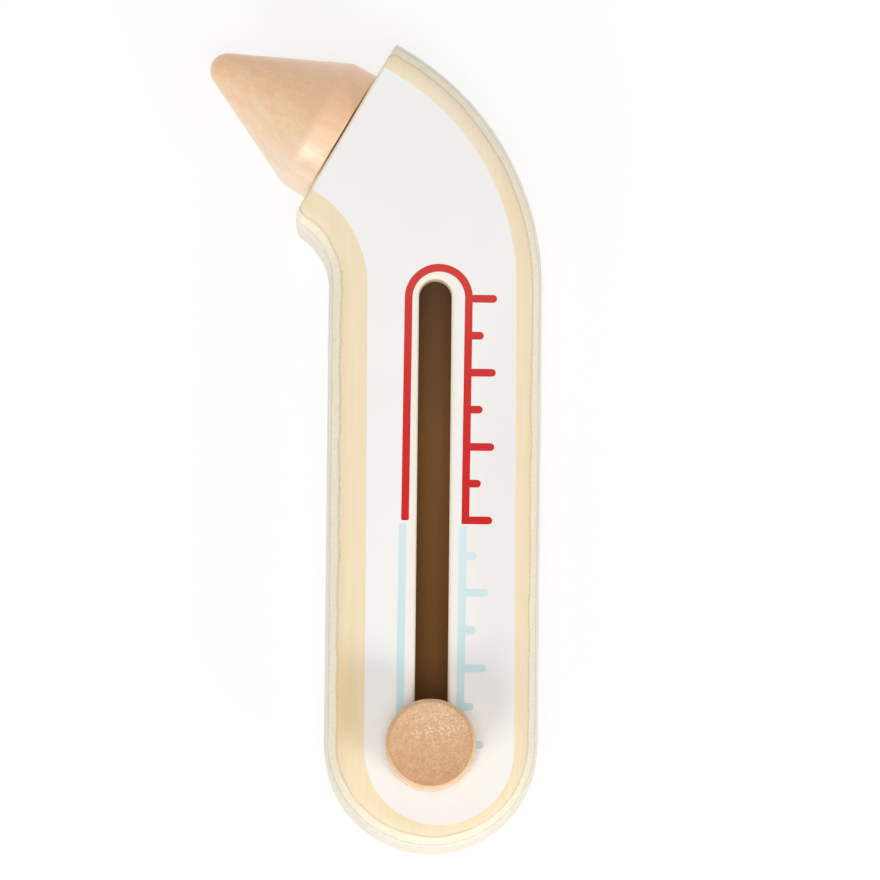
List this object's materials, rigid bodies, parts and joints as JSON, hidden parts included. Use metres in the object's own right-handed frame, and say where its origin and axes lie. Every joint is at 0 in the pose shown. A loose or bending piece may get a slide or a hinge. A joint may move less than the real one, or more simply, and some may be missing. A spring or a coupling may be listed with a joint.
{
  "type": "toy ear thermometer",
  "caption": "Wooden toy ear thermometer: bent plywood handle with a painted scale, a turned probe cone on its angled end, and a round knob that slides in a slot.",
  "frame": {"origin": "on the flat back face, at the centre of the handle's round bottom end", "axes": "+X across the handle to the right as seen from the front, +Y up the handle towards the bent end, +Z out of the front face"},
  "size_m": [0.0566, 0.136, 0.0336],
  "materials": {
    "plywood": "sanded and clear lacquered, satin",
    "beech": "turned and sanded, unvarnished",
    "felt": "pressed wool felt",
    "white_paint": "screen-printed water-based paint, matt",
    "red_print": "screen-printed ink, matt",
    "blue_print": "screen-printed ink, matt"
  },
  "bodies": {
    "handle": {"front_board": "plywood", "track_board": "plywood", "floor_board": "plywood", "back_board": "plywood", "probe_cone": "beech", "probe_dowel": "beech"},
    "washer": {"slider_washer": "felt"},
    "slider": {"slider_knob": "beech", "slider_peg": "beech", "slider_shoe": "beech"}
  },
  "joints": [
    {"name": "slider_slide", "type": "slide", "parent": "handle", "child": "washer", "axis": [0, 1, 0], "range_m": [0, 0.0763]},
    {"name": "slider_turn", "type": "hinge", "parent": "washer", "child": "slider", "pos_m": [0, -0.001, 0.0176], "axis": [0, 0, 1], "continuous": true}
  ]
}
